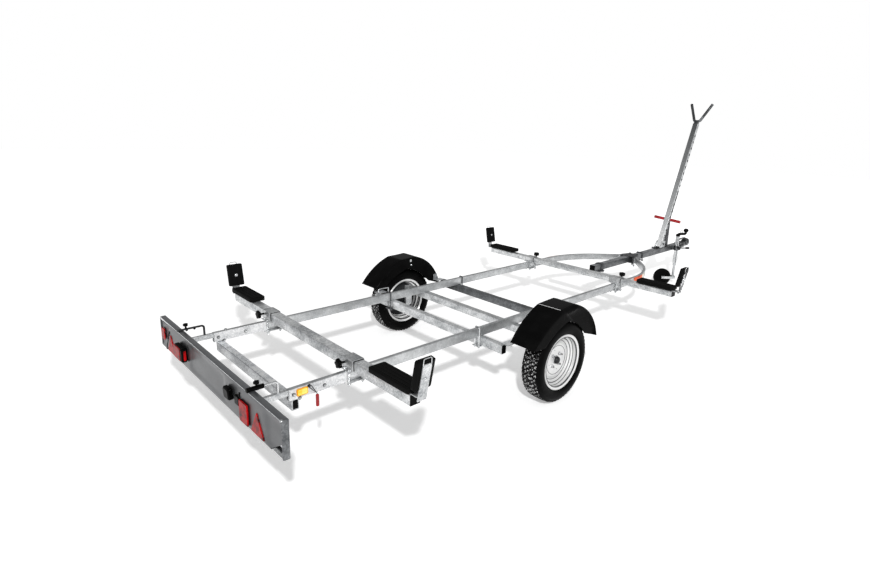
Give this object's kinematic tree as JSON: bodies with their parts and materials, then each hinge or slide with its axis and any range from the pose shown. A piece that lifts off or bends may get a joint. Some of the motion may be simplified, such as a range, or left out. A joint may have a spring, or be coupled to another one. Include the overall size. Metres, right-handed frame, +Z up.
{
  "type": "boat trailer",
  "caption": "Galvanised single-axle boat trailer with padded cross beams, mast support, jockey wheel and telescopic light board.",
  "frame": {"origin": "centre of the footprint on the ground", "axes": "+Y towards the coupling, +X to the right-hand side, +Z up"},
  "size_m": [2.114, 5.755, 2.0933],
  "materials": {
    "galvanised_steel": "hot-dip galvanised, dull silver with faint spangle",
    "zinc_plated_steel": "zinc plated, darker grey",
    "board_grey": "folded galvanised sheet, mid grey, smooth",
    "wheel_paint": "silver wheel paint",
    "tyre_rubber": "matt black rubber",
    "wheel_rubber": "matt black rubber",
    "pad_rubber": "black ribbed rubber over firm foam",
    "black_plastic": "moulded black polyethylene, slight sheen",
    "red_lens": "red acrylic lens",
    "amber_lens": "amber acrylic lens",
    "red_grip": "dipped red vinyl grip"
  },
  "bodies": {
    "frame": {"apex_plates": "galvanised_steel", "axle": "galvanised_steel", "beam_clamps": "zinc_plated_steel", "beam_front": "galvanised_steel", "beam_rear": "galvanised_steel", "clamp_knobs": "black_plastic", "coupling_head": "zinc_plated_steel", "coupling_lever": "zinc_plated_steel", "crossmember_ahead_of_axle": "galvanised_steel", "crossmember_behind_axle": "galvanised_steel", "crossmember_front": "galvanised_steel", "crossmember_rear": "galvanised_steel", "drawbar": "galvanised_steel", "drawbar_u_bolts": "zinc_plated_steel", "end_caps": "black_plastic", "flat_pad_front_left": "pad_rubber", "flat_pad_front_right": "pad_rubber", "flat_pad_rear_left": "pad_rubber", "flat_pad_rear_right": "pad_rubber", "jockey_clamp": "zinc_plated_steel", "mast_foot": "zinc_plated_steel", "mast_handle": "red_grip", "mast_post": "galvanised_steel", "mudguard_left": "black_plastic", "mudguard_right": "black_plastic", "mudguard_stays": "galvanised_steel", "pad_brackets": "galvanised_steel", "rail_left": "galvanised_steel", "rail_right": "galvanised_steel", "side_pad_front_left": "pad_rubber", "side_pad_front_right": "pad_rubber", "side_pad_rear_left": "pad_rubber", "side_pad_rear_right": "pad_rubber", "side_reflectors": "amber_lens", "slide_lever": "red_grip", "u_bolts": "zinc_plated_steel"},
    "wheel_left": {"rim_left": "wheel_paint", "tyre_left": "tyre_rubber", "hub_left": "galvanised_steel"},
    "wheel_right": {"rim_right": "wheel_paint", "tyre_right": "tyre_rubber", "hub_right": "galvanised_steel"},
    "light_bar": {"light_board": "board_grey", "extension_tubes": "galvanised_steel", "board_rods": "galvanised_steel", "board_knobs": "black_plastic", "tail_lamps": "red_lens", "warning_triangles": "red_lens", "number_plate_lamp": "black_plastic"},
    "mast_support": {"mast_fork": "galvanised_steel"},
    "jockey_leg": {"jockey_outer_tube": "galvanised_steel", "jockey_crank": "black_plastic"},
    "jockey_stem": {"jockey_inner_tube": "galvanised_steel"},
    "jockey_caster": {"jockey_fork": "galvanised_steel"},
    "jockey_roller": {"jockey_wheel": "wheel_rubber"}
  },
  "joints": [
    {"name": "wheel_left_spin", "type": "hinge", "parent": "frame", "child": "wheel_left", "pos_m": [-0.815, -0.9825, 0.2735], "axis": [1, 0, 0], "continuous": true},
    {"name": "wheel_right_spin", "type": "hinge", "parent": "frame", "child": "wheel_right", "pos_m": [0.815, -0.9825, 0.2735], "axis": [1, 0, 0], "continuous": true},
    {"name": "light_bar_slide", "type": "slide", "parent": "frame", "child": "light_bar", "axis": [0, -1, 0], "range_m": [-0.035, 0.45]},
    {"name": "mast_support_slide", "type": "slide", "parent": "frame", "child": "mast_support", "axis": [0, 0.3795, 0.9252], "range_m": [0, 0.35]},
    {"name": "jockey_leg_slide", "type": "slide", "parent": "frame", "child": "jockey_leg", "axis": [0, 0, 1], "range_m": [0, 0.08]},
    {"name": "jockey_screw", "type": "slide", "parent": "jockey_leg", "child": "jockey_stem", "axis": [0, 0, 1], "range_m": [-0.12, 0.12]},
    {"name": "jockey_swivel", "type": "hinge", "parent": "jockey_stem", "child": "jockey_caster", "pos_m": [0.076, 2.4025, 0.1], "axis": [0, 0, 1], "continuous": true},
    {"name": "jockey_wheel_spin", "type": "hinge", "parent": "jockey_caster", "child": "jockey_roller", "pos_m": [-0.01451, 2.31199, 0.1], "axis": [0.7071, -0.7071, 0], "continuous": true}
  ]
}
